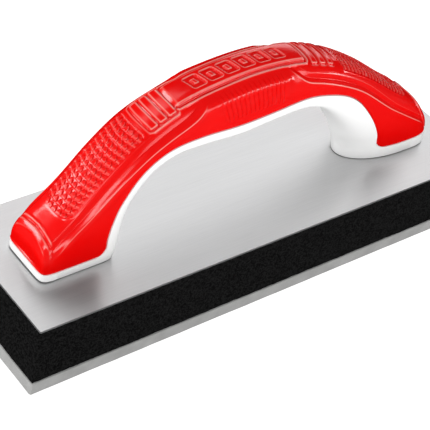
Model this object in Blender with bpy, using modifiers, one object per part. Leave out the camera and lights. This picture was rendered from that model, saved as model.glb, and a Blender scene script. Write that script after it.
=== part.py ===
"""Rubber-faced hand float: gum rubber face, foam pad, metal back plate and an arched
two-material handle fixed with four screws.

Metres, +Z up. Origin at the centre of the rubber working face; the length runs along X
and the float is symmetrical about the XZ plane.
"""
import math

import bmesh
import bpy
from mathutils import Vector

# ---------------------------------------------------------------- driving dimensions
MM = 0.001
GAP = 0.3 * MM                   # bond lines and running clearances

PAD_LENGTH = 240.0 * MM
PAD_WIDTH = 68.0 * MM
RUBBER_THICKNESS = 6.4 * MM
FOAM_THICKNESS = 28.2 * MM
PLATE_THICKNESS = 1.2 * MM
RUBBER_EDGE_ROUND = 0.5 * MM
PLATE_EDGE_ROUND = 0.15 * MM

# Handle stations along the arch, in millimetres above the plate:
# inner x, inner z, outer x, outer z, half width, inner squareness, outer squareness,
# widest point as a fraction of depth, depth of the white band
HANDLE_STATIONS = (
    (-71.0, 0.0, -106.2, 0.0, 13.4, 8.0, 9.0, 0.50, 6.5),
    (-70.0, 6.0, -106.5, 7.0, 13.4, 8.0, 9.0, 0.50, 6.8),
    (-69.4, 13.0, -106.3, 12.4, 13.4, 7.0, 5.2, 0.50, 7.4),
    (-68.2, 21.5, -103.9, 18.2, 13.4, 6.0, 3.0, 0.48, 7.4),
    (-65.8, 30.0, -95.2, 27.0, 13.3, 6.0, 2.35, 0.45, 7.2),
    (-58.9, 40.3, -81.1, 43.2, 13.3, 6.0, 2.35, 0.42, 7.0),
    (-48.4, 45.2, -67.0, 56.6, 13.4, 6.0, 2.3, 0.44, 7.6),
    (-34.5, 45.3, -48.8, 66.6, 13.5, 6.0, 2.3, 0.40, 7.6),
    (-17.0, 44.2, -26.5, 71.3, 13.6, 6.0, 2.3, 0.40, 7.4),
    (0.0, 45.8, -4.5, 72.3, 13.6, 6.0, 2.3, 0.40, 6.6),
    (15.0, 46.6, 17.5, 69.3, 13.5, 6.0, 2.3, 0.42, 7.0),
    (26.5, 43.0, 37.5, 61.9, 13.4, 5.0, 2.3, 0.46, 8.6),
    (35.2, 36.5, 57.5, 50.6, 13.3, 4.0, 2.4, 0.53, 12.6),
    (43.0, 28.5, 76.5, 37.2, 13.2, 3.2, 2.6, 0.53, 14.6),
    (50.0, 19.5, 92.5, 26.0, 13.2, 2.6, 3.0, 0.56, 15.2),
    (54.4, 11.0, 102.5, 15.0, 13.3, 2.2, 3.4, 0.60, 15.8),
    (57.0, 4.5, 105.5, 6.0, 13.4, 2.0, 3.8, 0.64, 15.4),
    (58.2, 0.0, 106.0, 0.0, 13.4, 2.0, 4.0, 0.64, 15.2),
)
SPAN_STEPS = 3                   # rings between two stations
RING_STEPS = 36                  # points round one ring
FRONT_SKIRT = 4.0 * MM           # height of the white foot strip, front foot
REAR_SKIRT = 6.0 * MM            # height of the white foot strip, rear foot
RIB_HALF_WIDTH = 7.0 * MM        # white spine under the grip
GRIP_WALL = 5.0 * MM             # grip thickness over the spine
OVERCUT = 2.5 * MM               # how far cutting solids run past the body

SCREW_X = (-94.0 * MM, -81.0 * MM, 72.0 * MM, 92.0 * MM)
SCREW_NAMES = ("screw_front_outer", "screw_front_inner", "screw_rear_inner", "screw_rear_outer")
SCREW_SHANK_R = 2.0 * MM
SCREW_SHANK_LENGTH = 11.0 * MM   # above the plate
SCREW_TIP_LENGTH = 2.0 * MM
SCREW_HEAD_R = 4.2 * MM
SCREW_HEAD_HEIGHT = 2.2 * MM
RECESS_LENGTH = 4.4 * MM
RECESS_WIDTH = 0.9 * MM
RECESS_DEPTH = 1.2 * MM
PILOT_R = SCREW_SHANK_R + GAP
PILOT_EXTRA = 1.5 * MM           # pilot hole runs on past the screw tip
HEAD_POCKET_R = SCREW_HEAD_R + 0.8 * MM
HEAD_POCKET_EXTRA = 0.6 * MM
ROUND_STEPS = 24

# ---------------------------------------------------------------- derived heights
FOAM_BOTTOM = RUBBER_THICKNESS + GAP
FOAM_TOP = FOAM_BOTTOM + FOAM_THICKNESS
PLATE_BOTTOM = FOAM_TOP + GAP
PLATE_TOP = PLATE_BOTTOM + PLATE_THICKNESS
HANDLE_BASE = PLATE_TOP + GAP
HEAD_TOP = PLATE_BOTTOM - GAP
HEAD_BOTTOM = HEAD_TOP - SCREW_HEAD_HEIGHT
SCREW_TIP = PLATE_TOP + SCREW_SHANK_LENGTH + SCREW_TIP_LENGTH
PILOT_TOP = SCREW_TIP + PILOT_EXTRA
POCKET_BOTTOM = HEAD_BOTTOM - HEAD_POCKET_EXTRA

for old in list(bpy.data.objects):
    bpy.data.objects.remove(old, do_unlink=True)


def new_collection(name):
    collection = bpy.data.collections.new(name)
    bpy.context.scene.collection.children.link(collection)
    return collection


PARTS = new_collection("rubber_face_hand_float")
CUTTERS = new_collection("cutters")


def material(name, colour, metallic, roughness, specular):
    mat = bpy.data.materials.new(name)
    mat.use_nodes = True
    shader = mat.node_tree.nodes["Principled BSDF"]
    shader.inputs["Base Color"].default_value = (colour[0], colour[1], colour[2], 1.0)
    shader.inputs["Metallic"].default_value = metallic
    shader.inputs["Roughness"].default_value = roughness
    shader.inputs["Specular IOR Level"].default_value = specular
    mat.diffuse_color = (colour[0], colour[1], colour[2], 1.0)
    return mat


WHITE_PLASTIC = material("white_plastic", (0.90, 0.90, 0.89), 0.0, 0.35, 0.5)
RED_RUBBER = material("red_overmould", (0.78, 0.012, 0.010), 0.0, 0.35, 0.5)
ALUMINIUM = material("brushed_aluminium", (0.62, 0.62, 0.63), 1.0, 0.35, 0.5)
BLACK_FOAM = material("black_foam", (0.012, 0.012, 0.013), 0.0, 0.95, 0.2)
GUM_RUBBER = material("grey_gum_rubber", (0.56, 0.56, 0.55), 0.0, 0.75, 0.3)
SCREW_STEEL = material("zinc_steel", (0.55, 0.56, 0.58), 1.0, 0.30, 0.5)


def make_object(name, mesh_data, collection, mat):
    mesh = bpy.data.meshes.new(name)
    bmesh.ops.recalc_face_normals(mesh_data, faces=mesh_data.faces)
    mesh_data.to_mesh(mesh)
    mesh_data.free()
    obj = bpy.data.objects.new(name, mesh)
    collection.objects.link(obj)
    if mat is not None:
        mesh.materials.append(mat)
    if collection is CUTTERS:
        obj.hide_render = True
        obj.display_type = "WIRE"
    return obj


def box(name, low, high, collection, mat=None):
    bm = bmesh.new()
    bmesh.ops.create_cube(bm, size=1.0)
    low = Vector(low)
    high = Vector(high)
    for vert in bm.verts:
        vert.co = Vector((low[i] + (vert.co[i] + 0.5) * (high[i] - low[i]) for i in range(3)))
    return make_object(name, bm, collection, mat)


def cylinder(name, centre_xy, radius, low, high, collection, mat=None):
    bm = bmesh.new()
    bmesh.ops.create_cone(bm, cap_ends=True, segments=ROUND_STEPS,
                          radius1=radius, radius2=radius, depth=high - low)
    bmesh.ops.translate(bm, verts=bm.verts, vec=(centre_xy[0], centre_xy[1], 0.5 * (low + high)))
    return make_object(name, bm, collection, mat)


def bevel(obj, width, segments):
    mod = obj.modifiers.new("edge_round", "BEVEL")
    mod.width = width
    mod.segments = segments
    mod.limit_method = "ANGLE"
    mod.angle_limit = math.radians(40.0)
    return mod


def boolean(obj, other, operation):
    mod = obj.modifiers.new(operation.lower(), "BOOLEAN")
    mod.operation = operation
    mod.solver = "EXACT"
    mod.object = other
    return mod


# ---------------------------------------------------------------- handle body
def smooth_stations(rows, steps):
    """Catmull-Rom rows between the stations."""
    first = [2.0 * a - b for a, b in zip(rows[0], rows[1])]
    last = [2.0 * a - b for a, b in zip(rows[-1], rows[-2])]
    padded = [first] + [list(row) for row in rows] + [last]
    result = []
    for i in range(1, len(padded) - 2):
        for k in range(steps):
            t = k / steps
            row = []
            for a, b, c, d in zip(padded[i - 1], padded[i], padded[i + 1], padded[i + 2]):
                cubic = (3.0 * b - a - 3.0 * c + d) * t * t * t
                square = (2.0 * a - 5.0 * b + 4.0 * c - d) * t * t
                row.append(0.5 * (2.0 * b + (c - a) * t + square + cubic))
            result.append(row)
    result.append(list(rows[-1]))
    return result


STATIONS = smooth_stations(HANDLE_STATIONS, SPAN_STEPS)


def station_point(row, depth, side):
    """Point of a station: depth 0 at the inner face and 1 at the crest, side in millimetres."""
    x = row[0] + (row[2] - row[0]) * depth
    z = row[1] + (row[3] - row[1]) * depth
    return Vector((x * MM, side * MM, HANDLE_BASE + z * MM))


def body_ring(row):
    """Closed rounded section of the whole handle."""
    half, inner_power, outer_power, widest = row[4], row[5], row[6], row[7]
    ring = []
    for k in range(RING_STEPS):
        angle = 2.0 * math.pi * k / RING_STEPS
        c = math.cos(angle)
        s = math.sin(angle)
        power = outer_power if c >= 0.0 else inner_power
        reach = abs(c) ** (2.0 / power)
        depth = widest + (1.0 - widest) * reach if c >= 0.0 else widest * (1.0 - reach)
        side = half * math.copysign(abs(s) ** (2.0 / power), s)
        ring.append(station_point(row, depth, side))
    return ring


def spine_ring(row, clearance):
    """Closed T section: the full-width white band and the narrow spine above it."""
    thickness = math.hypot(row[2] - row[0], row[3] - row[1])
    wide = row[4] + OVERCUT / MM
    rib = (RIB_HALF_WIDTH + clearance) / MM
    below = -OVERCUT / MM / thickness
    band = (row[8] + clearance / MM) / thickness
    crown = 1.0 - (GRIP_WALL - clearance) / MM / thickness
    outline = ((below, -wide), (below, wide), (band, wide), (band, rib),
               (crown, rib), (crown, -rib), (band, -rib), (band, -wide))
    return [station_point(row, depth, side) for depth, side in outline]


def sweep(name, rings, collection, mat=None):
    """Closed body through a list of rings with equal point counts."""
    bm = bmesh.new()
    grid = [[bm.verts.new(point) for point in ring] for ring in rings]
    count = len(rings[0])
    for lower, upper in zip(grid[:-1], grid[1:]):
        for k in range(count):
            nxt = (k + 1) % count
            bm.faces.new((lower[k], lower[nxt], upper[nxt], upper[k]))
    bm.faces.new(list(reversed(grid[0])))
    bm.faces.new(grid[-1])
    return make_object(name, bm, collection, mat)


def shifted(ring, distance):
    return [point + Vector((0.0, 0.0, distance)) for point in ring]


def spine_cutter(name, clearance):
    rings = [spine_ring(row, clearance) for row in STATIONS]
    rings = [shifted(rings[0], -OVERCUT)] + rings + [shifted(rings[-1], -OVERCUT)]
    return sweep(name, rings, CUTTERS)


def skirt_boxes(name, clearance):
    """Slabs that keep both feet white down to the plate."""
    side = HANDLE_STATIONS[0][4] * MM + OVERCUT
    low = HANDLE_BASE - OVERCUT
    front = box(name + "_front",
                (HANDLE_STATIONS[0][2] * MM - OVERCUT, -side, low),
                (HANDLE_STATIONS[0][0] * MM + 3.0 * OVERCUT, side, HANDLE_BASE + FRONT_SKIRT + clearance),
                CUTTERS)
    rear = box(name + "_rear",
               (HANDLE_STATIONS[-1][0] * MM - 3.0 * OVERCUT, -side, low),
               (HANDLE_STATIONS[-1][2] * MM + OVERCUT, side, HANDLE_BASE + REAR_SKIRT + clearance),
               CUTTERS)
    return front, rear


core_cutter = spine_cutter("core_region", 0.0)
for slab in skirt_boxes("core_skirt", 0.0):
    boolean(core_cutter, slab, "UNION")
grip_cutter = spine_cutter("core_region_with_clearance", GAP)
for slab in skirt_boxes("grip_skirt", GAP):
    boolean(grip_cutter, slab, "UNION")

handle_core = sweep("handle_core", [body_ring(row) for row in STATIONS], PARTS, WHITE_PLASTIC)
boolean(handle_core, core_cutter, "INTERSECT")
handle_grip = sweep("handle_grip", [body_ring(row) for row in STATIONS], PARTS, RED_RUBBER)
boolean(handle_grip, grip_cutter, "DIFFERENCE")

# ---------------------------------------------------------------- pad
rubber_face = box("rubber_face",
                  (-0.5 * PAD_LENGTH, -0.5 * PAD_WIDTH, 0.0),
                  (0.5 * PAD_LENGTH, 0.5 * PAD_WIDTH, RUBBER_THICKNESS), PARTS, GUM_RUBBER)
bevel(rubber_face, RUBBER_EDGE_ROUND, 2)

foam_pad = box("foam_pad",
               (-0.5 * PAD_LENGTH, -0.5 * PAD_WIDTH, FOAM_BOTTOM),
               (0.5 * PAD_LENGTH, 0.5 * PAD_WIDTH, FOAM_TOP), PARTS, BLACK_FOAM)

back_plate = box("back_plate",
                 (-0.5 * PAD_LENGTH, -0.5 * PAD_WIDTH, PLATE_BOTTOM),
                 (0.5 * PAD_LENGTH, 0.5 * PAD_WIDTH, PLATE_TOP), PARTS, ALUMINIUM)
bevel(back_plate, PLATE_EDGE_ROUND, 1)

# ---------------------------------------------------------------- screws and their holes
for name, x in zip(SCREW_NAMES, SCREW_X):
    bm = bmesh.new()
    profile = ((SCREW_HEAD_R, HEAD_BOTTOM), (SCREW_HEAD_R, HEAD_TOP),
               (SCREW_SHANK_R, HEAD_TOP), (SCREW_SHANK_R, SCREW_TIP - SCREW_TIP_LENGTH),
               (0.25 * SCREW_SHANK_R, SCREW_TIP))
    rings = []
    for radius, height in profile:
        ring = []
        for k in range(ROUND_STEPS):
            angle = 2.0 * math.pi * k / ROUND_STEPS
            ring.append(bm.verts.new((x + radius * math.cos(angle), radius * math.sin(angle), height)))
        rings.append(ring)
    for lower, upper in zip(rings[:-1], rings[1:]):
        for k in range(ROUND_STEPS):
            nxt = (k + 1) % ROUND_STEPS
            bm.faces.new((lower[k], lower[nxt], upper[nxt], upper[k]))
    bm.faces.new(list(reversed(rings[0])))
    bm.faces.new(rings[-1])
    screw = make_object(name, bm, PARTS, SCREW_STEEL)
    half_long = 0.5 * RECESS_LENGTH
    half_wide = 0.5 * RECESS_WIDTH
    recess_top = HEAD_BOTTOM + RECESS_DEPTH
    recess_low = HEAD_BOTTOM - RECESS_DEPTH
    along = box(name + "_recess_x", (x - half_long, -half_wide, recess_low),
                (x + half_long, half_wide, recess_top), CUTTERS)
    across = box(name + "_recess_y", (x - half_wide, -half_long, recess_low),
                 (x + half_wide, half_long, recess_top), CUTTERS)
    boolean(screw, along, "DIFFERENCE")
    boolean(screw, across, "DIFFERENCE")

    pilot = cylinder(name + "_pilot", (x, 0.0), PILOT_R, HANDLE_BASE - OVERCUT, PILOT_TOP, CUTTERS)
    boolean(handle_core, pilot, "DIFFERENCE")
    hole = cylinder(name + "_plate_hole", (x, 0.0), PILOT_R, PLATE_BOTTOM - OVERCUT,
                    PLATE_TOP + OVERCUT, CUTTERS)
    boolean(back_plate, hole, "DIFFERENCE")
    pocket = cylinder(name + "_foam_pocket", (x, 0.0), HEAD_POCKET_R, POCKET_BOTTOM,
                      FOAM_TOP + OVERCUT, CUTTERS)
    boolean(foam_pad, pocket, "DIFFERENCE")
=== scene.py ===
"""Looks for the rubber-faced hand float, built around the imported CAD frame."""

import math

import bmesh
import bpy
import numpy as np
from mathutils import Matrix, Vector


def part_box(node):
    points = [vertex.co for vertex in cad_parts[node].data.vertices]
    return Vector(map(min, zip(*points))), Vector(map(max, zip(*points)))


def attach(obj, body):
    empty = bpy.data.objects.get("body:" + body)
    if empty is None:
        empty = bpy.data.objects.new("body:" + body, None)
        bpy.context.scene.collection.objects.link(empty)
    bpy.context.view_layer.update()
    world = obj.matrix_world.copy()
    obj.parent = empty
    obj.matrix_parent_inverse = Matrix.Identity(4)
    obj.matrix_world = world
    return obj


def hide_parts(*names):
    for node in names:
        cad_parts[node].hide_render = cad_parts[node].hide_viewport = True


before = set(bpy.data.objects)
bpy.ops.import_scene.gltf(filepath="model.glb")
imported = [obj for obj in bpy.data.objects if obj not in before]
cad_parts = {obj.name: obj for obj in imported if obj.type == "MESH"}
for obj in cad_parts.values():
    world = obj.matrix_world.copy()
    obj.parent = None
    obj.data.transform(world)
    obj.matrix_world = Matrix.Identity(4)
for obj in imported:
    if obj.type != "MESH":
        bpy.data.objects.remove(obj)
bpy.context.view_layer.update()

# ---------------------------------------------------------------- sizes
MM = 0.001
RNG = np.random.default_rng(7)

RUBBER_LOW, RUBBER_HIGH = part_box("rubber_face")
FOAM_LOW, FOAM_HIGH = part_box("foam_pad")
PLATE_LOW, PLATE_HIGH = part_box("back_plate")
HANDLE_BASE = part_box("handle_core")[0].z
SCREWS = ("screw_front_outer", "screw_front_inner", "screw_rear_inner", "screw_rear_outer")
SCREW_HOLE_R = 2.3 * MM
HEAD_POCKET_R = 5.0 * MM
HEAD_POCKET_GAP = 0.6 * MM       # free depth under a screw head
CUT_PAST = 1.0 * MM              # how far a cutter reaches past the face it opens

# Handle stations along the arch, in millimetres above the handle's base:
# inner x, inner z, outer x, outer z, half width, inner squareness, outer squareness,
# widest point as a fraction of depth, depth of the white band
HANDLE_STATIONS = np.array((
    (-71.0, 0.0, -106.2, 0.0, 13.4, 8.0, 9.0, 0.50, 6.5),
    (-70.0, 6.0, -106.5, 7.0, 13.4, 8.0, 9.0, 0.50, 6.8),
    (-69.4, 13.0, -106.3, 12.4, 13.4, 7.0, 5.2, 0.50, 7.4),
    (-68.2, 21.5, -103.9, 18.2, 13.4, 6.0, 3.0, 0.48, 7.4),
    (-65.8, 30.0, -95.2, 27.0, 13.3, 6.0, 2.35, 0.45, 7.2),
    (-58.9, 40.3, -81.1, 43.2, 13.3, 6.0, 2.35, 0.42, 7.0),
    (-48.4, 45.2, -67.0, 56.6, 13.4, 6.0, 2.3, 0.44, 7.6),
    (-34.5, 45.3, -48.8, 66.6, 13.5, 6.0, 2.3, 0.40, 7.6),
    (-17.0, 44.2, -26.5, 71.3, 13.6, 6.0, 2.3, 0.40, 7.4),
    (0.0, 45.8, -4.5, 72.3, 13.6, 6.0, 2.3, 0.40, 6.6),
    (15.0, 46.6, 17.5, 69.3, 13.5, 6.0, 2.3, 0.42, 7.0),
    (26.5, 43.0, 37.5, 61.9, 13.4, 5.0, 2.3, 0.46, 8.6),
    (35.2, 36.5, 57.5, 50.6, 13.3, 4.0, 2.4, 0.53, 12.6),
    (43.0, 28.5, 76.5, 37.2, 13.2, 3.2, 2.6, 0.53, 14.6),
    (50.0, 19.5, 92.5, 26.0, 13.2, 2.6, 3.0, 0.56, 15.2),
    (54.4, 11.0, 102.5, 15.0, 13.3, 2.2, 3.4, 0.60, 15.8),
    (57.0, 4.5, 105.5, 6.0, 13.4, 2.0, 3.8, 0.64, 15.4),
    (58.2, 0.0, 106.0, 0.0, 13.4, 2.0, 4.0, 0.64, 15.2),
))
FRONT_SKIRT = 4.0                # height of the white foot strips
REAR_SKIRT = 6.0
SEAM = 0.3                       # gap between white core and red grip
RIB_HALF_WIDTH = 7.0
GRIP_WALL = 5.0
SETTLE = 16.0                    # length over which a foot's rings tilt from level
BAND_CORNER = 4.5                # radius where the white band turns into a foot
FOOT_BREAK = 0.35                # height of the softened edge under a foot
FOOT_SHRINK = 1.0 - 0.3 / 14.0   # how far that edge draws in

STATION_STEPS = 40               # rows between two stations
FOOT_ROWS = 2 * STATION_STEPS    # rows that surely reach past a foot's skirt
GRIP_RINGS, GRIP_POINTS = 860, 300
CROWDING = 1.15                  # grip points sit closer together near the crest
CORE_RINGS, CORE_INNER, CORE_LIP, CORE_OUTER = 260, 48, 6, 48
GRIP_TRACE = 320                 # points traced along a section before it is resampled
LIP_TRACE, FACE_TRACE, FOOT_TRACE = 80, 300, 400
GRIP_SHARP, PLAIN_SHARP = 50.0, 40.0    # degrees above which an edge is shaded sharp
NOISE_LOW, NOISE_HIGH = 0.3, 0.7        # the range in which a noise texture mostly stays


# ---------------------------------------------------------------- small maths
def smoothstep(value, low, high):
    """0 below low, 1 above high, smooth between."""
    t = np.clip((value - low) / (high - low), 0.0, 1.0)
    return t * t * (3.0 - 2.0 * t)


def window(value, low, low_full, high_full, high):
    """1 between the two full marks, falling smoothly to 0 at the outer ones."""
    return smoothstep(value, low, low_full) * (1.0 - smoothstep(value, high_full, high))


def hill(distance, width):
    """A smooth bump, 1 at no distance."""
    return np.exp(-(distance / width) ** 2)


def smooth_rows(rows, steps):
    """Catmull-Rom rows between the stations."""
    padded = np.vstack([2.0 * rows[0] - rows[1], rows, 2.0 * rows[-1] - rows[-2]])
    t = (np.arange(steps) / steps)[:, None]
    spans = []
    for a, b, c, d in zip(padded[:-3], padded[1:-2], padded[2:-1], padded[3:]):
        cubic = (3.0 * b - a - 3.0 * c + d) * t ** 3
        square = (2.0 * a - 5.0 * b + 4.0 * c - d) * t ** 2
        spans.append(0.5 * (2.0 * b + (c - a) * t + square + cubic))
    return np.vstack(spans + [rows[-1:]])


def resample(points, count, crowding=1.0):
    """Points spread along an open polyline, closer at its start when crowding is above 1."""
    reach = np.concatenate([[0.0], np.cumsum(np.linalg.norm(np.diff(points, axis=0), axis=1))])
    wanted = reach[-1] * np.linspace(0.0, 1.0, count) ** crowding
    return np.stack([np.interp(wanted, reach, points[:, k]) for k in range(3)], axis=1)


def distance_to_path(s, v, path):
    """Distance from (s, v) to an open path, and the signed side it lies on."""
    best = np.full(s.shape, 1e9)
    side = np.zeros(s.shape)
    path = np.array(path, float)
    for a, b in zip(path[:-1], path[1:]):
        run = b - a
        t = np.clip(((s - a[0]) * run[0] + (v - a[1]) * run[1]) / (run @ run), 0.0, 1.0)
        ds = s - a[0] - t * run[0]
        dv = v - a[1] - t * run[1]
        d = np.hypot(ds, dv)
        cross = run[0] * dv - run[1] * ds
        closer = d < best
        best = np.where(closer, d, best)
        side = np.where(closer, np.sign(cross), side)
    return best, side


def rounded_path(points, passes=3):
    """A path with its corners cut until it runs smoothly."""
    path = np.array(points, float)
    for _ in range(passes):
        a = path[:-1] * 0.75 + path[1:] * 0.25
        b = path[:-1] * 0.25 + path[1:] * 0.75
        middle = np.stack([a, b], axis=1).reshape(-1, 2)
        path = np.vstack([path[:1], middle, path[-1:]])
    return path


def rounded_box(s, v, s_low, s_high, half, radius):
    """Signed distance to a rounded rectangle centred on the crest, negative inside."""
    ds = np.abs(s - 0.5 * (s_low + s_high)) - (0.5 * (s_high - s_low) - radius)
    dv = np.abs(v) - (half - radius)
    outside = np.hypot(np.maximum(ds, 0.0), np.maximum(dv, 0.0))
    return outside + np.minimum(np.maximum(ds, dv), 0.0) - radius


# ---------------------------------------------------------------- handle body
ROWS = smooth_rows(HANDLE_STATIONS, STATION_STEPS)
CREST = np.concatenate([[0.0], np.cumsum(np.hypot(np.diff(ROWS[:, 2]), np.diff(ROWS[:, 3])))])
FRONT_S = np.interp(FRONT_SKIRT, ROWS[:FOOT_ROWS, 3], CREST[:FOOT_ROWS])
REAR_END = slice(None, -FOOT_ROWS - 1, -1)
REAR_S = CREST[-1] - np.interp(REAR_SKIRT, ROWS[REAR_END, 3], CREST[-1] - CREST[REAR_END])


def arch_rows(crest):
    """Station rows at the given crest distances, made level at both feet."""
    rows = np.stack([np.interp(crest, CREST, ROWS[:, k]) for k in range(ROWS.shape[1])], axis=1)
    tilt = window(crest, FRONT_S, FRONT_S + SETTLE, REAR_S - SETTLE, REAR_S)
    rows[:, 1] = rows[:, 3] + (rows[:, 1] - rows[:, 3]) * tilt
    # the inner face keeps its own outline while the rings settle to level
    half = len(ROWS) // 2
    front, rear = crest < FRONT_S + SETTLE, crest > REAR_S - SETTLE
    rows[front, 0] = np.interp(rows[front, 1], ROWS[:half, 1], ROWS[:half, 0])
    rows[rear, 0] = np.interp(rows[rear, 1], ROWS[:half:-1, 1], ROWS[:half:-1, 0])
    return rows


def section(row, angles):
    """Points of the handle's rounded section; angle 0 is the crest, positive towards -Y."""
    half, inner_power, outer_power, widest = row[4], row[5], row[6], row[7]
    c, s = np.cos(angles), np.sin(angles)
    power = np.where(c >= 0.0, outer_power, inner_power)
    reach = np.abs(c) ** (2.0 / power)
    depth = np.where(c >= 0.0, widest + (1.0 - widest) * reach, widest * (1.0 - reach))
    side = -half * np.sign(s) * np.abs(s) ** (2.0 / power)
    return place(row, depth, side)


def place(row, depth, side):
    """Points at a depth fraction from the inner to the outer face, and a side offset."""
    x = row[0] + (row[2] - row[0]) * depth
    z = row[1] + (row[3] - row[1]) * depth
    return np.stack([x, side + 0.0 * x, z], axis=-1)


def thickness(row):
    """Distance from the inner face to the crest."""
    return math.hypot(row[2] - row[0], row[3] - row[1])


def edge_angle(row, band):
    """Section angle at which the depth equals the white band."""
    fraction = min(band / thickness(row) / row[7], 0.98)
    return math.pi - math.acos((1.0 - fraction) ** (0.5 * row[5]))


def corner_inset(from_foot):
    """Extra depth of the band where its edge rounds into a foot."""
    short = np.maximum(BAND_CORNER - from_foot, 0.0)
    return BAND_CORNER - np.sqrt(np.maximum(BAND_CORNER ** 2 - short ** 2, 0.0))


def mesh_object(name, vertices, faces, material, node, sharp_degrees):
    """A visible piece that rides on the body and stands in for a CAD node."""
    mesh = bpy.data.meshes.new(name)
    mesh.from_pydata(vertices.tolist(), [], faces)
    mesh.validate()
    bm = bmesh.new()
    bm.from_mesh(mesh)
    bmesh.ops.recalc_face_normals(bm, faces=bm.faces)
    bm.to_mesh(mesh)
    bm.free()
    mesh.materials.append(material)
    mesh.shade_smooth()
    mesh.set_sharp_from_angle(angle=math.radians(sharp_degrees))
    obj = bpy.data.objects.new(name, mesh)
    bpy.context.scene.collection.objects.link(obj)
    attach(obj, "root")
    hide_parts(node)
    return obj


def loft_faces(rings, points):
    """Quads between closed rings, and a cap at each end."""
    ring = np.arange(rings - 1)[:, None] * points
    here = np.arange(points)[None, :]
    after = (here + 1) % points
    corners = (ring + here, ring + after, ring + points + after, ring + points + here)
    quads = np.stack(corners, axis=-1)
    faces = quads.reshape(-1, 4).tolist()
    faces.append(list(range(points - 1, -1, -1)))
    faces.append(list(range((rings - 1) * points, rings * points)))
    return faces


def to_world(points):
    """Millimetres above the handle's base to metres in the row frame."""
    world = np.asarray(points, float) * MM
    world[..., 2] += HANDLE_BASE
    return world


# ---------------------------------------------------------------- grip relief
# Paths and boxes lie on the skin: millimetres along the crest from the front foot (s), and
# round the section from the crest, positive on the -Y side (v). The far side mirrors the near
# one, but its ribs start lower down.
SIDE_RIDGE_FRONT = rounded_path((
    (11, 12.0), (16, 13.4), (22, 14.0), (34, 13.8), (60, 13.4),
    (80, 13.2), (91, 13.0), (97.5, 11.4), (101.5, 8.2), (103.5, 5.6)))
SIDE_RIDGE_REAR = rounded_path((
    (140, 5.2), (147, 7.0), (151, 10.8), (156, 14.2), (163, 14.8), (185, 14.8), (200, 15.0),
    (216, 16.3), (228, 17.4), (238, 18.8), (247, 18.8), (256, 16.8), (268, 11.4)))
# path, where it starts and ends, strip width, crease depth, chamfer width, lift of its edge
RIDGES = (
    (SIDE_RIDGE_FRONT, 9.0, 105.0, 3.4, 0.60, 3.5, 0.35),
    (SIDE_RIDGE_REAR, 144.0, 267.0, 2.2, 0.65, 2.0, 0.30),
)
TOE_BEAD_FRONT = rounded_path((
    (18.4, 0.0), (17.9, 4.0), (16.2, 8.5), (13.6, 11.6), (10.0, 13.0)))
TOE_BEAD_REAR = rounded_path((
    (243.5, 0.0), (246, 3.5), (251, 7.5), (256, 10.6), (262, 12.2), (268, 11.6)))
TOE_LINE_FRONT = rounded_path((
    (21.2, 0.0), (20.8, 4.0), (19.2, 8.0), (16.8, 11.0), (14.2, 12.6)))

# boxes: start, end, half width, corner radius
BADGE = (91.8, 158.0, 6.6, 1.0)
FRONT_PANEL = (28.5, 75.0, 9.6, 3.2)
REAR_PANEL = (180.5, 240.0, 10.4, 3.2)
PLAQUE_HEIGHT, MOAT_DEPTH, RIM_HEIGHT = 0.80, 0.40, 0.34
POCKET_START, POCKET_PITCH, POCKET_COUNT = 102.0, 8.0, 6
POCKET_LENGTH, POCKET_HALF, POCKET_DEPTH = 6.0, 3.5, 0.55
ISLAND_INSET, ISLAND_HALF, ISLAND_HEIGHT = 1.9, 1.6, 0.42
POCKET_LEAN = 0.22               # how far the pockets slant per millimetre from the crest
FRONT_BARS = (79.4, 84.0, 88.6)
REAR_BARS = (163.0, 168.4, 173.8)
FRONT_BAR_HEIGHT, REAR_BAR_HEIGHT = 0.42, 0.32
BAR_HALF_WIDTH, BAR_HALF_LENGTH = 1.95, 8.2
BAR_LIP, BAR_GROOVE, BAR_FRAME = 0.08, 0.22, 0.22
SCALE_S, SCALE_V = 3.0, 2.8      # spacing of the knurl's scales
SCALE_HEIGHT, KNURL_FLOOR, KNURL_BORDER = 0.62, 0.25, 0.14
RIDGE_LINE = 0.14                # extra height on the crisp edge of a side ridge
BEAD_HEIGHT, BEAD_GROOVE, TOE_LINE_HEIGHT = 0.50, 0.25, 0.28
SIDE_PANEL = (103.0, 146.0)
CREASE_HEIGHT, CREASE_ACROSS, CREASE_WIDTH = 0.95, 13.6, 2.6
SIDE_PANEL_HEIGHT = 0.25
SIDE_RIBS, RIB_PITCH = (108.0, 142.0), 2.42
RIB_HEIGHT, RIB_FLOOR = 0.36, 0.10
CROWN_DROP, CROWN_WIDTH = 0.86, 12.0
EDGE_ROUNDING = 0.35             # how far the grip's own edge turns in

EDGE_BEND = (0.20, 1.7)          # outward bend per millimetre where an edge is painted paler, part wear and part painted highlight, and where it is palest
FINE_WEAR_AND_SHEEN = 0.18                 # how much of the knurl and ribs the bend sees for the painted wear and highlight
FRONT_EDGE_HIGHLIGHT = 0.34                # strength of the highlight painted on the knurl's front edges


def scales(s, v, panel):
    """Rows of small scales with a straight front edge and a rounded back, in a rounded panel."""
    inside = rounded_box(s, v, *panel)
    row = (s - panel[0]) / SCALE_S
    column = v / SCALE_V + 0.5
    p = row - np.floor(row)
    q = column - np.floor(column) - 0.5
    back = 0.93 - 2.4 * q * q
    scale = smoothstep(p, 0.0, 0.16) * (1.0 - smoothstep(p, back - 0.18, back))
    scale *= 1.0 - 0.85 * smoothstep(np.abs(q), 0.36, 0.5)
    relief = SCALE_HEIGHT * scale * (1.0 - 0.45 * p) - KNURL_FLOOR
    border = hill(inside + 0.1, 0.45) * KNURL_BORDER
    return relief * (1.0 - smoothstep(inside, -1.1, -0.5)) + border


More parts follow.
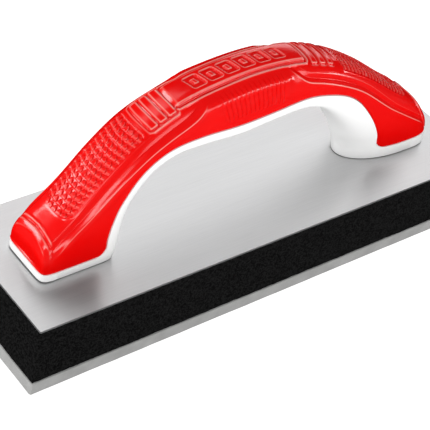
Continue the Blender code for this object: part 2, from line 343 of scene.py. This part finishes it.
def raised_bar(s, v, centre, height):
    """A cross bar with a faint lip and a groove round it."""
    sd = rounded_box(s, v, centre - BAR_HALF_WIDTH, centre + BAR_HALF_WIDTH, BAR_HALF_LENGTH, 0.9)
    lip = BAR_LIP * hill(sd + 0.45, 0.3)
    groove = BAR_GROOVE * hill(sd - 0.5, 0.35)
    return height * (1.0 - smoothstep(sd, -0.45, 0.1)) + lip - groove


def badge_relief(s, v):
    """A raised plaque in a moat, with a row of plain sunk pockets."""
    sd = rounded_box(s, v, *BADGE)
    relief = PLAQUE_HEIGHT * np.clip(-sd / 1.1, 0.0, 1.0) - MOAT_DEPTH * hill(sd - 0.45, 0.5)
    relief += RIM_HEIGHT * hill(sd - 1.4, 0.5)
    upright = s - POCKET_LEAN * v
    for k in range(POCKET_COUNT):
        low = POCKET_START + k * POCKET_PITCH
        high = low + POCKET_LENGTH
        pocket = rounded_box(upright, v, low, high, POCKET_HALF, 0.9)
        island = rounded_box(upright, v, low + ISLAND_INSET, high - ISLAND_INSET, ISLAND_HALF, 0.5)
        relief -= POCKET_DEPTH * (1.0 - smoothstep(pocket, -0.35, 0.15))
        relief += ISLAND_HEIGHT * (1.0 - smoothstep(island, -0.3, 0.2))
    return relief


def ridge_relief(s, a, path, start, end, strip, crease, chamfer, lift):
    """A flat strip falling into a crease, then a chamfer rising to a crisp lower edge."""
    d, side = distance_to_path(s, a, path)
    below = np.where(side < 0.0, -d, d)
    rise = (crease + lift) * np.clip(below / chamfer, 0.0, 1.0)
    fall = crease * (1.0 - np.clip(-below / strip, 0.0, 1.0))
    profile = (rise - fall) * (1.0 - smoothstep(below, chamfer + 0.2, chamfer + 6.5))
    profile += RIDGE_LINE * hill(below - chamfer, 0.45)
    return profile * window(s, start + 1.0, start + 8.0, end - 8.0, end)


def bead_relief(s, a, path, inner_side):
    """A flat-topped bead round a toe, with a groove on its inner side."""
    d, side = distance_to_path(s, a, path)
    past = d * np.where(side > 0.0, -inner_side, inner_side) + 1.3
    fade = (1.0 - 0.30 * smoothstep(a, 9.5, 13.0)) * smoothstep(s, 10.0, 14.0)
    flat = (1.0 - 0.06 * past) * (1.0 - smoothstep(past, 2.1, 3.0))
    top = np.where(past < 0.0, hill(past, 0.7), flat)
    return fade * (BEAD_HEIGHT * top - BEAD_GROOVE * hill(past - 3.0, 0.5))


def side_panel_relief(s, v, fine):
    """Flat below its crease, sloping to the badge above it, with upright ribs."""
    a = np.abs(v)
    on_side = window(s, SIDE_PANEL[0] - 6.0, SIDE_PANEL[0] + 4.0,
                     SIDE_PANEL[1] - 3.0, SIDE_PANEL[1] + 3.0)
    slope = CREASE_HEIGHT * hill(a - CREASE_ACROSS, CREASE_WIDTH)
    slope += SIDE_PANEL_HEIGHT * window(a, 6.5, 9.0, 18.0, 24.0)
    ribbed = window(s, SIDE_RIBS[0] - 0.6, SIDE_RIBS[0], SIDE_RIBS[1], SIDE_RIBS[1] + 0.6)
    ribs_top = np.where(v > 0.0, 9.0, 13.0)
    ribbed *= smoothstep(a - ribs_top, 0.0, 3.5) * (1.0 - smoothstep(a, 23.0, 24.5))
    wave = 0.5 - 0.5 * np.cos(2.0 * math.pi * (s - SIDE_RIBS[0]) / RIB_PITCH)
    return on_side * slope + fine * ribbed * (RIB_HEIGHT * wave - RIB_FLOOR)


def knurl_fronts(s, v, panel):
    """The straight front edges of the scales, 0 to 1, where a highlight is painted."""
    p = (s - panel[0]) / SCALE_S
    q = v / SCALE_V + 0.5
    line = hill(p - np.floor(p) - 0.17, 0.13)
    line *= 1.0 - smoothstep(np.abs(q - np.floor(q) - 0.5), 0.3, 0.45)
    return line * (1.0 - smoothstep(rounded_box(s, v, *panel), -1.1, -0.5))


def grip_relief(s, v, fine=1.0):
    """Height of the moulded detail above the plain body, in millimetres.

    fine scales the knurl and the side ribs."""
    a = np.abs(v)
    h = np.zeros_like(s)
    for ridge in RIDGES:
        h += ridge_relief(s, a, *ridge)
    h += bead_relief(s, a, TOE_BEAD_FRONT, 1.0) + bead_relief(s, a, TOE_BEAD_REAR, -1.0)
    h += TOE_LINE_HEIGHT * hill(distance_to_path(s, a, TOE_LINE_FRONT)[0], 0.6)
    h += side_panel_relief(s, v, fine)
    h += fine * (scales(s, v, FRONT_PANEL) + scales(s, v, REAR_PANEL))
    for centre in FRONT_BARS:
        h += raised_bar(s, v, centre, FRONT_BAR_HEIGHT)
    for centre in REAR_BARS:
        h += raised_bar(s, v, centre, REAR_BAR_HEIGHT)
    frame_line = rounded_box(s, v, FRONT_BARS[0] - 3.3, FRONT_BARS[-1] + 3.0, 9.6, 2.0)
    h += BAR_FRAME * hill(frame_line, 0.45)
    h += badge_relief(s, v)
    return h - CROWN_DROP * hill(v, CROWN_WIDTH)


def raised_edges(relief, crest, across):
    """How sharply the relief bends outwards, 0 to 1: the lines painted paler, part wear and part
    painted highlight.
    """
    along = np.gradient(np.gradient(relief, crest, axis=0), crest, axis=0)
    spacing = np.gradient(across, axis=1)
    around = np.gradient(np.gradient(relief, axis=1) / spacing, axis=1) / spacing
    bend = -(along + around)
    for axis in (0, 1):
        bend = (np.roll(bend, 1, axis=axis) + 2.0 * bend + np.roll(bend, -1, axis=axis)) / 4.0
    return smoothstep(bend, EDGE_BEND[0], EDGE_BEND[1])


def build_grip(material):
    """Red over-moulded saddle, with its panels, bars, ribs and beads as geometry."""
    crest = np.linspace(FRONT_S, REAR_S, GRIP_RINGS)
    rows = arch_rows(crest)
    from_foot = np.minimum(crest - FRONT_S, REAR_S - crest)
    inset = corner_inset(from_foot)
    skin = np.empty((GRIP_RINGS, GRIP_POINTS, 3))
    across = np.empty((GRIP_RINGS, GRIP_POINTS))
    inner = []
    half_count = GRIP_POINTS // 2 + 1
    for k, row in enumerate(rows):
        band = row[8] + 0.5 * SEAM + inset[k]
        limit = edge_angle(row, band)
        traced = section(row, np.linspace(0.0, limit, GRIP_TRACE))
        near = resample(traced, half_count, CROWDING)
        far = near * (1.0, -1.0, 1.0)
        length = np.linalg.norm(np.diff(near, axis=0), axis=1).sum()
        skin[k] = np.vstack([near[::-1], far[2:]])
        position = length * np.linspace(0.0, 1.0, half_count) ** CROWDING
        across[k] = np.concatenate([position[::-1], -position[2:]])
        deep = band / thickness(row)
        crown = 1.0 - GRIP_WALL / thickness(row)
        rib = RIB_HALF_WIDTH + 0.5 * SEAM
        depths = np.array((deep, crown, crown, deep))
        inner.append(place(row, depths, np.array((rib, rib, -rib, -rib))))
    s = np.repeat(crest[:, None], GRIP_POINTS, axis=1)
    along = np.gradient(skin, axis=0)
    round_section = np.gradient(skin, axis=1)
    normal = np.cross(along, round_section)
    normal /= np.linalg.norm(normal, axis=2, keepdims=True) + 1e-12
    if normal[GRIP_RINGS // 2, GRIP_POINTS // 2, 2] < 0.0:
        normal = -normal
    edge = np.minimum(across[:, :1] - across, across - across[:, -1:])
    edge = np.minimum(edge, from_foot[:, None])
    clear_of_edge = smoothstep(edge, 0.2, 1.4)
    relief = grip_relief(s, across) * clear_of_edge
    # edges painted paler by how sharply they bend outwards: part wear, part painted highlight
    wear_and_highlight = raised_edges(grip_relief(s, across, FINE_WEAR_AND_SHEEN) * clear_of_edge, crest, across)
    fronts = knurl_fronts(s, across, FRONT_PANEL) + knurl_fronts(s, across, REAR_PANEL)
    # a painted highlight on the straight front edge of each knurl scale
    wear_and_highlight += FRONT_EDGE_HIGHLIGHT * fronts * smoothstep(np.abs(across), 1.0, 4.0)
    wear_and_highlight = np.clip(wear_and_highlight, 0.0, 1.0)
    relief -= EDGE_ROUNDING * (1.0 - smoothstep(edge, 0.0, 0.9)) ** 2
    skin += normal * relief[..., None]
    for k in (0, -1):
        skin[k, :, 2] = rows[k, 3]
    rings = np.concatenate([skin, np.array(inner)], axis=1)
    points = rings.shape[1]
    grip = mesh_object("handle_grip_skin", to_world(rings).reshape(-1, 3),
                       loft_faces(GRIP_RINGS, points),
                       material, "handle_grip", GRIP_SHARP)
    wear_and_highlight = np.concatenate([wear_and_highlight, np.zeros((GRIP_RINGS, points - GRIP_POINTS))], axis=1)
    grip.data.attributes.new("wear_and_highlight", "FLOAT", "POINT").data.foreach_set("value", wear_and_highlight.ravel())
    return grip


def build_core(material):
    """White arch: full feet below the skirts, then the band and the spine under the grip."""
    low = np.array((0.0, FOOT_BREAK, FRONT_S - 0.5 * SEAM))
    high = np.array((REAR_S + 0.5 * SEAM, CREST[-1] - FOOT_BREAK, CREST[-1]))
    middle = np.linspace(FRONT_S - 0.5 * SEAM, REAR_S + 0.5 * SEAM, CORE_RINGS)
    crest = np.concatenate([low, middle, high])
    is_foot = np.repeat((True, False, True), (len(low), len(middle), len(high)))
    rows = arch_rows(crest)
    from_foot = np.clip(np.minimum(crest - FRONT_S, REAR_S - crest), 0.0, None)
    inset = corner_inset(from_foot)
    rings = []
    for k, row in enumerate(rows):
        band = row[8] - 0.5 * SEAM + (0.0 if is_foot[k] else inset[k])
        limit = edge_angle(row, band)
        broad = edge_angle(row, 0.5 * row[8])
        lip = resample(section(row, np.linspace(limit, broad, LIP_TRACE)), CORE_LIP + 1)[:-1]
        underside = np.linspace(broad, 2.0 * math.pi - broad, FACE_TRACE)
        face = resample(section(row, underside), CORE_INNER)
        inner = np.vstack([lip, face, lip[::-1] * (1.0, -1.0, 1.0)])
        if is_foot[k]:
            outer = section(row, np.linspace(-limit, limit, FOOT_TRACE))
        else:
            deep = band / thickness(row)
            crown = 1.0 - (GRIP_WALL + SEAM) / thickness(row)
            rib = RIB_HALF_WIDTH - 0.5 * SEAM
            depths = np.array((deep, deep, crown, crown, deep, deep))
            ends = (inner[-1, 1], inner[0, 1])
            sides = np.array((ends[0], rib, rib, -rib, -rib, ends[1]))
            outer = place(row, depths, sides)
        outer = resample(outer, CORE_OUTER + 2)[1:-1]
        ring = np.vstack([inner, outer])
        if k in (0, len(rows) - 1):
            centre = inner.mean(axis=0)
            ring = centre + (ring - centre) * (FOOT_SHRINK, FOOT_SHRINK, 1.0)
        rings.append(ring)
    rings = np.array(rings)
    return mesh_object("handle_core_body", to_world(rings).reshape(-1, 3),
                       loft_faces(rings.shape[0], rings.shape[1]),
                       material, "handle_core", PLAIN_SHARP)


# ---------------------------------------------------------------- pad layers
def outline_loop(high, step, corner):
    """Points spread evenly round a rectangle with rounded corners, centred on the origin."""
    cx, cy = high.x - corner, high.y - corner
    points = []
    for quarter, (sx, sy) in enumerate(((1, 1), (-1, 1), (-1, -1), (1, -1))):
        for k in range(5):
            angle = 0.5 * math.pi * (quarter + k / 4.0)
            points.append((sx * cx + corner * math.cos(angle),
                           sy * cy + corner * math.sin(angle), 0.0))
    points.append(points[0])
    points = np.array(points)
    length = np.linalg.norm(np.diff(points, axis=0), axis=1).sum()
    return resample(points, int(length / step))[:-1]


def value_noise(shape, cells, rng):
    """Smooth random values on a grid of the given shape, closed along its second axis."""
    coarse = rng.standard_normal(cells)
    u = np.linspace(0.0, cells[0] - 1.0, shape[0])
    w = np.arange(shape[1]) * cells[1] / shape[1]
    i = np.clip(u.astype(int), 0, max(cells[0] - 2, 0))
    j = w.astype(int) % cells[1]
    fu = smoothstep(u - i, 0.0, 1.0)[:, None]
    fw = smoothstep(w - np.floor(w), 0.0, 1.0)[None, :]
    jn = (j + 1) % cells[1]
    i2 = np.minimum(i + 1, cells[0] - 1)
    a = coarse[np.ix_(i, j)] * (1 - fw) + coarse[np.ix_(i, jn)] * fw
    b = coarse[np.ix_(i2, j)] * (1 - fw) + coarse[np.ix_(i2, jn)] * fw
    return a * (1 - fu) + b * fu


def layer(name, high, heights, insets, wobble, step, corner, material, node):
    """A slab with its wall as stacked loops, each with its own inset and roughness."""
    loop = outline_loop(high, step, corner)
    count = len(loop)
    tangent = np.roll(loop, -1, axis=0) - np.roll(loop, 1, axis=0)
    outward = np.stack([tangent[:, 1], -tangent[:, 0], np.zeros(count)], axis=1)
    outward /= np.linalg.norm(outward, axis=1, keepdims=True)
    outward *= np.sign((outward * loop).sum(axis=1).mean())
    rings = np.repeat(loop[None], len(heights), axis=0)
    rings[..., 2] = np.array(heights)[:, None]
    push = wobble - np.array(insets)[:, None]
    rings = rings + outward[None] * push[..., None]
    return mesh_object(name, rings.reshape(-1, 3), loft_faces(len(heights), count),
                       material, node, PLAIN_SHARP)


def apply_modifiers(obj):
    """Bakes the modifiers into the mesh."""
    depsgraph = bpy.context.evaluated_depsgraph_get()
    done = bpy.data.meshes.new_from_object(obj.evaluated_get(depsgraph))
    obj.modifiers.clear()
    obj.data = done


def cut_holes(obj, radius, bottom, top):
    """Round holes at the screws, through or into a slab."""
    segments = 32
    for name in SCREWS:
        low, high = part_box(name)
        bm = bmesh.new()
        bmesh.ops.create_cone(bm, cap_ends=True, segments=segments, radius1=radius,
                              radius2=radius, depth=top - bottom)
        middle = (0.5 * (low.x + high.x), 0.0, 0.5 * (bottom + top))
        bmesh.ops.translate(bm, verts=bm.verts, vec=middle)
        mesh = bpy.data.meshes.new("hole")
        bm.to_mesh(mesh)
        bm.free()
        cutter = bpy.data.objects.new("hole", mesh)
        bpy.context.scene.collection.objects.link(cutter)
        mod = obj.modifiers.new("hole", "BOOLEAN")
        mod.operation = "DIFFERENCE"
        mod.solver = "EXACT"
        mod.object = cutter
        apply_modifiers(obj)
        bpy.data.objects.remove(cutter)


def build_plate(material):
    """Thin sheet with a crisp top edge and a slightly torn sheared side."""
    low, high = PLATE_LOW, PLATE_HIGH
    round_edge = 0.10 * MM
    heights = (low.z, low.z + 0.25 * MM, low.z + 0.55 * MM, high.z - round_edge, high.z)
    insets = (0.30 * MM, 0.12 * MM, 0.10 * MM, 0.0, round_edge)
    step, corner = 0.8 * MM, 0.4 * MM
    count = len(outline_loop(high, step, corner))
    wobble = np.zeros((len(heights), count))
    torn = value_noise((2, count), (2, count // 3), RNG)
    wobble[1:3] = 0.06 * MM * np.clip(torn, -1.5, 1.5)
    plate = layer("back_plate_sheet", high, heights, insets, wobble, step, corner,
                  material, "back_plate")
    cut_holes(plate, SCREW_HOLE_R, low.z - CUT_PAST, high.z + CUT_PAST)
    return plate


def build_foam(material):
    """Block of fine-celled foam with a grainy wall and a slightly ragged upper edge."""
    low, high = FOAM_LOW, FOAM_HIGH
    step, corner = 0.8 * MM, 0.8 * MM
    rows = 36
    heights = np.linspace(low.z, high.z, rows)
    count = len(outline_loop(high, step, corner))
    grain = RNG.standard_normal((rows, count))
    grain = 0.5 * grain + 0.25 * (np.roll(grain, 1, axis=1) + np.roll(grain, -1, axis=1))
    wobble = 0.09 * MM * np.clip(grain, -1.6, 1.6) - 0.30 * MM
    wobble += 0.05 * MM * value_noise((rows, count), (6, 60), RNG)
    insets = np.zeros(rows)
    insets[[0, -1]] = 0.35 * MM
    insets[[1, -2]] = 0.10 * MM
    foam = layer("foam_block", high, heights, insets, wobble, step, corner,
                 material, "foam_pad")
    head_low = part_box(SCREWS[0])[0].z
    cut_holes(foam, HEAD_POCKET_R, head_low - HEAD_POCKET_GAP, high.z + CUT_PAST)
    return foam


def build_rubber(material):
    """Gum rubber layer with softly rounded, slightly uneven edges."""
    low, high = RUBBER_LOW, RUBBER_HIGH
    step, corner = 1.2 * MM, 1.0 * MM
    heights = low.z + np.array((0.0, 0.12, 0.5, 1.4, 3.2, 5.0, 5.9, 6.25, 6.4)) * MM
    insets = np.array((0.55, 0.22, 0.05, 0.0, 0.0, 0.0, 0.03, 0.12, 0.35)) * MM
    count = len(outline_loop(high, step, corner))
    wobble = 0.05 * MM * value_noise((len(heights), count), (4, 90), RNG) - 0.20 * MM
    return layer("rubber_face_sheet", high, heights, insets, wobble, step, corner,
                 material, "rubber_face")


# ---------------------------------------------------------------- materials
class Nodes:
    """Short way to write a material's node tree."""

    def __init__(self, name, roughness, metallic=0.0, specular=0.5, anisotropic=0.0):
        self.material = bpy.data.materials.new(name)
        self.material.use_nodes = True
        self.tree = self.material.node_tree
        self.shader = self.tree.nodes["Principled BSDF"]
        self.shader.inputs["Roughness"].default_value = roughness
        self.shader.inputs["Metallic"].default_value = metallic
        self.shader.inputs["Specular IOR Level"].default_value = specular
        self.shader.inputs["Anisotropic"].default_value = anisotropic
        self.place = self.node("ShaderNodeTexCoord").outputs["Object"]

    def node(self, kind, **settings):
        made = self.tree.nodes.new(kind)
        for key, value in settings.items():
            setattr(made, key, value)
        return made

    def link(self, source, target):
        self.tree.links.new(source, target)

    def scaled(self, scale):
        mapping = self.node("ShaderNodeMapping")
        mapping.inputs["Scale"].default_value = scale
        self.link(self.place, mapping.inputs["Vector"])
        return mapping.outputs["Vector"]

    def noise(self, scale, detail=3.0, stretch=None):
        noise = self.node("ShaderNodeTexNoise")
        noise.inputs["Scale"].default_value = scale
        noise.inputs["Detail"].default_value = detail
        self.link(self.scaled(stretch) if stretch else self.place, noise.inputs["Vector"])
        return noise.outputs["Fac"]

    def tones(self, factor, dark, light, low=NOISE_LOW, high=NOISE_HIGH):
        """A colour between two tones, following a noise value."""
        ramp = self.node("ShaderNodeValToRGB")
        ends = zip(ramp.color_ramp.elements, (low, high), (dark, light))
        for element, position, tone in ends:
            element.position = position
            element.color = (*tone, 1.0)
        self.link(factor, ramp.inputs["Fac"])
        return ramp.outputs["Color"]

    def span(self, factor, low, high):
        """A number between low and high, following a noise value."""
        span = self.node("ShaderNodeMapRange")
        span.inputs["From Min"].default_value = NOISE_LOW
        span.inputs["From Max"].default_value = NOISE_HIGH
        span.inputs["To Min"].default_value = low
        span.inputs["To Max"].default_value = high
        self.link(factor, span.inputs["Value"])
        return span.outputs["Result"]

    def mix(self, factor, a, b):
        mix = self.node("ShaderNodeMix", data_type="RGBA")
        if isinstance(factor, float):
            mix.inputs["Factor"].default_value = factor
        else:
            self.link(factor, mix.inputs["Factor"])
        for socket, value in (("A", a), ("B", b)):
            target = [i for i in mix.inputs if i.identifier == socket + "_Color"][0]
            if isinstance(value, tuple):
                target.default_value = (*value, 1.0)
            else:
                self.link(value, target)
        return [o for o in mix.outputs if o.identifier == "Result_Color"][0]

    def bump(self, height, strength, distance):
        bump = self.node("ShaderNodeBump")
        bump.inputs["Strength"].default_value = strength
        bump.inputs["Distance"].default_value = distance
        self.link(height, bump.inputs["Height"])
        self.link(bump.outputs["Normal"], self.shader.inputs["Normal"])

    def colour(self, socket):
        self.link(socket, self.shader.inputs["Base Color"])

    def roughness(self, socket):
        self.link(socket, self.shader.inputs["Roughness"])


def red_overmould():
    nodes = Nodes("red_overmould_look", 0.18, specular=0.65)
    plain = nodes.tones(nodes.noise(60.0), (0.90, 0.0010, 0.0008), (0.95, 0.0016, 0.0010))
    # raised edges all round the grip are painted paler, part wear and part painted highlight, and
    # the knurl's front edges carry a painted highlight
    wear_and_highlight = nodes.node("ShaderNodeAttribute", attribute_name="wear_and_highlight").outputs["Fac"]
    nodes.colour(nodes.mix(wear_and_highlight, plain, (0.96, 0.30, 0.26)))
    nodes.roughness(nodes.span(nodes.noise(350.0), 0.16, 0.20))
    nodes.bump(nodes.noise(1400.0, 2.0), 0.03, 0.0001)
    return nodes.material


def white_plastic():
    nodes = Nodes("white_plastic_look", 0.42, specular=0.35)
    nodes.colour(nodes.tones(nodes.noise(45.0), (0.95, 0.95, 0.945), (0.98, 0.98, 0.975)))
    nodes.roughness(nodes.span(nodes.noise(240.0), 0.38, 0.46))
    nodes.bump(nodes.noise(1800.0, 2.0), 0.05, 0.0001)
    return nodes.material


def brushed_aluminium():
    nodes = Nodes("brushed_aluminium_look", 0.34,
                  metallic=0.75, specular=0.3, anisotropic=0.8)
    fine = nodes.noise(1.0, 4.0, (60.0, 2600.0, 2600.0))
    broad = nodes.noise(1.0, 2.0, (14.0, 160.0, 160.0))
    tone = nodes.tones(fine, (0.60, 0.60, 0.605), (0.67, 0.67, 0.675))
    patch = nodes.tones(broad, (0.62, 0.62, 0.625), (0.66, 0.66, 0.665))
    nodes.colour(nodes.mix(0.4, tone, patch))
    nodes.roughness(nodes.span(fine, 0.31, 0.37))
    brushing = nodes.node("ShaderNodeTangent", direction_type="RADIAL", axis="X")
    nodes.link(brushing.outputs["Tangent"], nodes.shader.inputs["Tangent"])
    nodes.bump(fine, 0.10, 0.00005)
    return nodes.material


def black_foam():
    nodes = Nodes("black_foam_look", 0.95, specular=0.02)
    grain = nodes.noise(1500.0, 3.0)
    nodes.colour(nodes.tones(grain, (0.002, 0.002, 0.002), (0.011, 0.011, 0.011), 0.40, 0.60))
    nodes.bump(grain, 0.6, 0.0004)
    return nodes.material


def grey_gum_rubber():
    nodes = Nodes("grey_gum_rubber_look", 0.75, specular=0.25)
    cloud = nodes.noise(120.0, 4.0)
    nodes.colour(nodes.tones(cloud, (0.27, 0.27, 0.265), (0.33, 0.33, 0.325)))
    nodes.roughness(nodes.span(cloud, 0.68, 0.82))
    nodes.bump(nodes.noise(900.0, 3.0), 0.25, 0.0002)
    return nodes.material


def zinc_steel():
    nodes = Nodes("zinc_steel_look", 0.32, metallic=1.0)
    cloud = nodes.noise(400.0)
    nodes.colour(nodes.tones(cloud, (0.52, 0.53, 0.55), (0.64, 0.65, 0.68)))
    nodes.roughness(nodes.span(cloud, 0.26, 0.40))
    return nodes.material


# ---------------------------------------------------------------- floor, light and camera
CAMERA_AZIMUTH, CAMERA_ELEVATION, CAMERA_ROLL = (math.radians(v) for v in (-46.85, 40.58, 14.42))
CAMERA_TARGET = Vector((-17.8 * MM, -10.2 * MM, PLATE_HIGH.z))
CAMERA_DISTANCE = 670.2 * MM
CAMERA_LENS = 133.95
SENSOR = 36.0

FLOOR_SIZE = 12.0
FLOOR_DROP = 0.4 * MM
FLOOR_GLOW = 0.90
WORLD_STRENGTH = 0.50

# Softboxes round and above the grip: direction, size in metres, power in watts.
SOFTBOXES = (
    ((-0.78, 0.60, 0.28), (0.60, 0.36), 5.4),
    ((-0.95, -0.10, 0.33), (0.34, 0.26), 1.9),
    ((-0.69, -0.60, 0.38), (0.34, 0.22), 1.2),
    ((0.22, -0.96, 0.20), (0.80, 0.40), 2.3),
    ((0.64, -0.75, 0.20), (0.90, 0.40), 1.5),
    ((0.90, -0.42, 0.14), (0.30, 0.14), 1.2),
    ((0.75, 0.62, 0.20), (0.80, 0.30), 1.2),
    ((-0.16, 0.42, 0.89), (0.60, 0.50), 1.3),
)
SOFTBOX_REACH = 1.2
SOFTBOX_AIM = Vector((0.0, 0.0, 0.06))
PANEL_AIM = Vector((0.0, 0.0, 0.05))
# place, where it points, size, power
WHITE_FILL = ((-1.15, -0.45, 0.30), PANEL_AIM, (0.8, 0.5), 3.6)
BACK_PANEL = ((1.1, 1.1, 1.3), PANEL_AIM, (2.4, 1.6), 17.5)
TOP_PANEL = ((0.0, 0.0, 1.6), PANEL_AIM, (1.6, 1.6), 4.5)


def view_axes(azimuth, elevation, roll):
    """Right, up and back directions of a camera."""
    back = Vector((math.sin(azimuth) * math.cos(elevation),
                   -math.cos(azimuth) * math.cos(elevation), math.sin(elevation)))
    right = Vector((0.0, 0.0, 1.0)).cross(back).normalized()
    up = back.cross(right)
    turned_right = math.cos(roll) * right + math.sin(roll) * up
    turned_up = math.cos(roll) * up - math.sin(roll) * right
    return turned_right, turned_up, back


def build_camera():
    """The photo's own view, with everything in focus."""
    right, up, back = view_axes(CAMERA_AZIMUTH, CAMERA_ELEVATION, CAMERA_ROLL)
    data = bpy.data.cameras.new("camera")
    data.sensor_width = SENSOR
    data.lens = CAMERA_LENS
    data.clip_start = 0.01
    data.clip_end = 20.0
    camera = bpy.data.objects.new("camera", data)
    bpy.context.scene.collection.objects.link(camera)
    place = CAMERA_TARGET + back * CAMERA_DISTANCE
    camera.matrix_world = Matrix((
        (right.x, up.x, back.x, place.x),
        (right.y, up.y, back.y, place.y),
        (right.z, up.z, back.z, place.z),
        (0.0, 0.0, 0.0, 1.0)))
    bpy.context.scene.camera = camera


def build_floor():
    """A plain white ground that no piece mirrors."""
    bpy.ops.mesh.primitive_plane_add(size=FLOOR_SIZE, location=(0.0, 0.0, -FLOOR_DROP))
    floor = bpy.context.active_object
    floor.name = "floor"
    nodes = Nodes("floor_white", 1.0, specular=0.0)
    nodes.shader.inputs["Base Color"].default_value = (0.5, 0.5, 0.5, 1.0)
    nodes.shader.inputs["Emission Color"].default_value = (1.0, 1.0, 1.0, 1.0)
    nodes.shader.inputs["Emission Strength"].default_value = FLOOR_GLOW
    floor.data.materials.append(nodes.material)
    floor.visible_glossy = False


def build_world():
    """Even white light from all round, left out of reflections."""
    world = bpy.data.worlds.new("studio")
    bpy.context.scene.world = world
    world.use_nodes = True
    background = world.node_tree.nodes["Background"]
    background.inputs["Color"].default_value = (1.0, 1.0, 1.0, 1.0)
    background.inputs["Strength"].default_value = WORLD_STRENGTH
    world.cycles_visibility.glossy = False


def light_group(name, pieces, link_state="INCLUDE"):
    """Which pieces a lamp lights, or with EXCLUDE the ones that it passes by."""
    group = bpy.data.collections.new(name)
    for piece in pieces:
        group.objects.link(piece)
    for member in group.collection_objects:
        member.light_linking.link_state = link_state
    return group


def area_light(name, location, target, size, power, group):
    """A rectangular softbox that lights the pieces of its group."""
    data = bpy.data.lights.new(name, "AREA")
    data.shape = "RECTANGLE"
    data.size, data.size_y = size
    data.energy = power
    lamp = bpy.data.objects.new(name, data)
    bpy.context.scene.collection.objects.link(lamp)
    lamp.location = location
    lamp.rotation_euler = (target - Vector(location)).to_track_quat("-Z", "Y").to_euler()
    lamp.light_linking.receiver_collection = group


def build_lights(grip, core, plate, foam, rubber):
    """Softboxes for all but the mirror-like plate, and the panels that it reflects."""
    lit = light_group("lit_by_low_lights", (grip, core, foam, rubber))
    for k, (direction, size, power) in enumerate(SOFTBOXES):
        location = SOFTBOX_REACH * Vector(direction).normalized() + SOFTBOX_AIM
        area_light("low_%d" % (k + 1), location, SOFTBOX_AIM, size, power, lit)
    white_parts = light_group("lit_by_white_fill", (core, rubber))
    area_light("white_fill", *WHITE_FILL, white_parts)
    all_but_grip = light_group("passed_by_back_panel", (grip,), "EXCLUDE")
    area_light("back", *BACK_PANEL, all_but_grip)
    area_light("top", *TOP_PANEL, light_group("lit_by_top_panel", (plate,)))


# ---------------------------------------------------------------- the object
grip = build_grip(red_overmould())
grip.visible_glossy = False      # the photo's plate shows no red reflection of the grip
core = build_core(white_plastic())
plate = build_plate(brushed_aluminium())
plate.visible_glossy = False     # the handle's sides show no glare from the plate
foam = build_foam(black_foam())
rubber = build_rubber(grey_gum_rubber())
steel = zinc_steel()
for name in SCREWS:
    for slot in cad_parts[name].material_slots:
        slot.material = steel

bpy.context.scene.view_settings.view_transform = "Standard"
bpy.context.scene.view_settings.look = "None"
build_floor()
build_world()
build_camera()
build_lights(grip, core, plate, foam, rubber)
